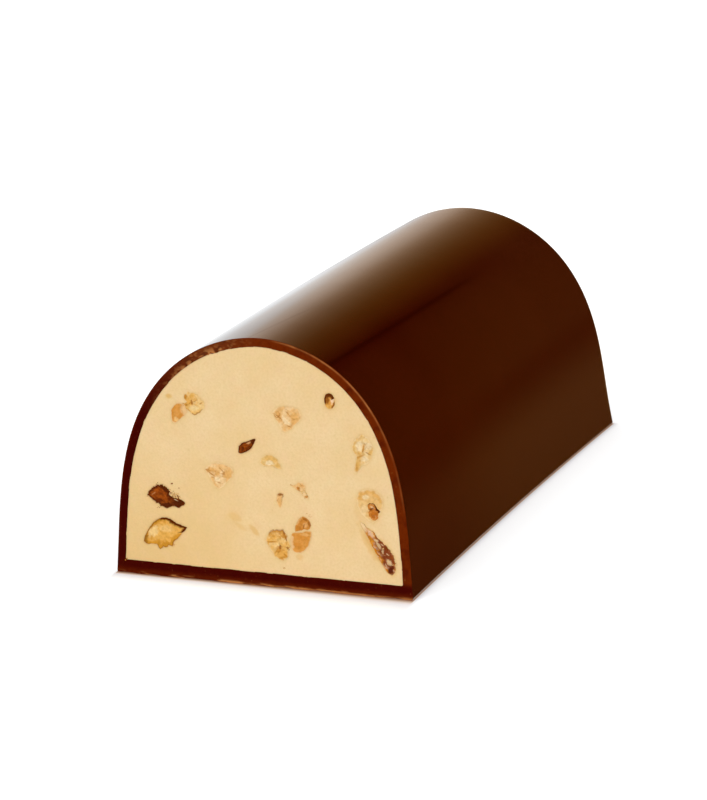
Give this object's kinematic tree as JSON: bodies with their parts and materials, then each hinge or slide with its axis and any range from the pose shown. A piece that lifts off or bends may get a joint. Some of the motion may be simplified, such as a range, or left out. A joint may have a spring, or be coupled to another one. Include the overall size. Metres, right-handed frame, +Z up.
{
  "type": "nougat bar",
  "caption": "Half-round loaf of pale nougat with chopped nuts in a thin dark chocolate coating, cut flat at one end and closed at the other.",
  "frame": {"origin": "under the middle of the loaf, on the surface it stands on", "axes": "+Y runs along the loaf from the cut end to the closed end, +X to the right as seen from the cut, +Z up"},
  "size_m": [0.0405, 0.0884, 0.0321],
  "materials": {
    "dark_chocolate": "smooth moulded dark chocolate, satin gloss",
    "nougat": "matte, dense, fine grained",
    "roasted_nut": "rough, dark roasted",
    "almond": "matte cut kernel with thin brown skin",
    "brown_nut": "matte roasted kernel",
    "tan_nut": "matte cut kernel",
    "nut_crisp": "broken, veined",
    "pale_crisp": "broken, pale, veined",
    "nut_skin": "caramelised skin, slightly glossy"
  },
  "bodies": {
    "root": {"chocolate_coating": "dark_chocolate", "nougat_filling": "nougat", "roasted_nut_piece": "roasted_nut", "almond_piece": "almond", "dark_nut_chip": "roasted_nut", "brown_nut_piece": "brown_nut", "tan_nut_piece": "tan_nut", "crisp_piece_left": "nut_crisp", "crisp_piece_top": "nut_crisp", "crisp_piece_middle": "nut_crisp", "crisp_piece_right": "pale_crisp", "pale_nut_crescent": "nut_crisp", "nut_crumb_upper": "tan_nut", "nut_crumb_lower": "brown_nut", "nut_half_upper": "brown_nut", "nut_half_lower": "tan_nut", "crisp_piece_lower": "nut_crisp", "caramel_nut": "brown_nut", "caramel_crisp_piece": "nut_crisp", "almond_sliver": "nut_skin"}
  },
  "joints": []
}
